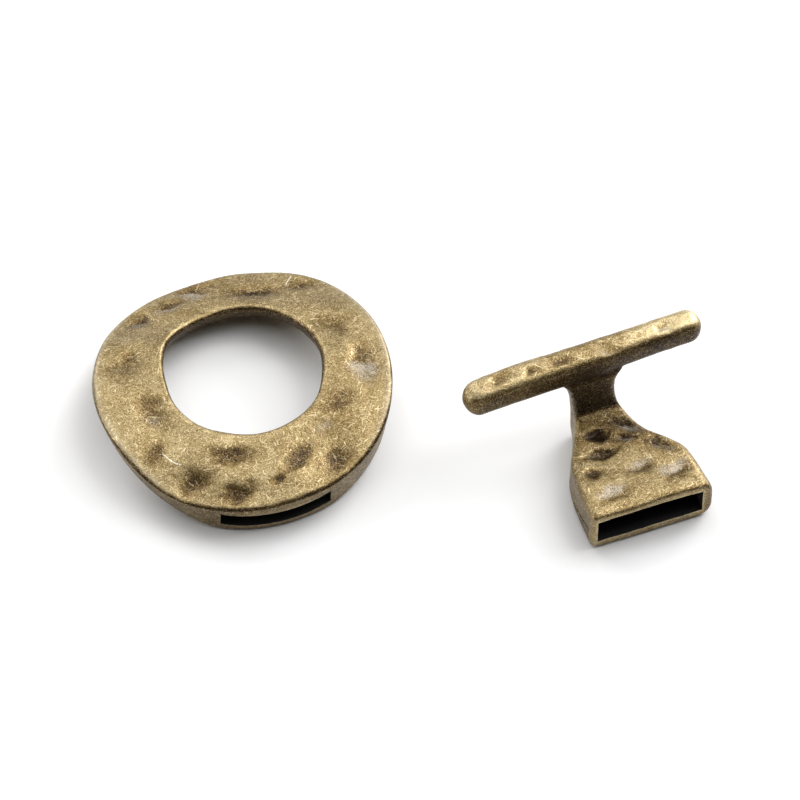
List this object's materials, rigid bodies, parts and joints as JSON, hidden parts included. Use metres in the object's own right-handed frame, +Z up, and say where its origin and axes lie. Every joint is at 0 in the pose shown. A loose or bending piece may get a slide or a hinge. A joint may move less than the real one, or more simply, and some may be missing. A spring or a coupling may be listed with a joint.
{
  "type": "toggle clasp",
  "caption": "Hammered ring-and-bar toggle clasp for a flat strap, unfastened: a slotted ring beside a flared socket with a cross bar on its neck.",
  "frame": {"origin": "on the surface that the clasp lies on, below the middle of the box round both halves", "axes": "+Z up, +X from the ring half to the toggle half, +Y away from the strap slots, towards the thin back of the ring"},
  "size_m": [0.0578, 0.0322, 0.0108],
  "materials": {
    "antique_bronze": "hammered casting, antique bronze plating rubbed lighter on its high spots"
  },
  "bodies": {
    "root": {"ring_half": "antique_bronze", "toggle_half": "antique_bronze"}
  },
  "joints": []
}
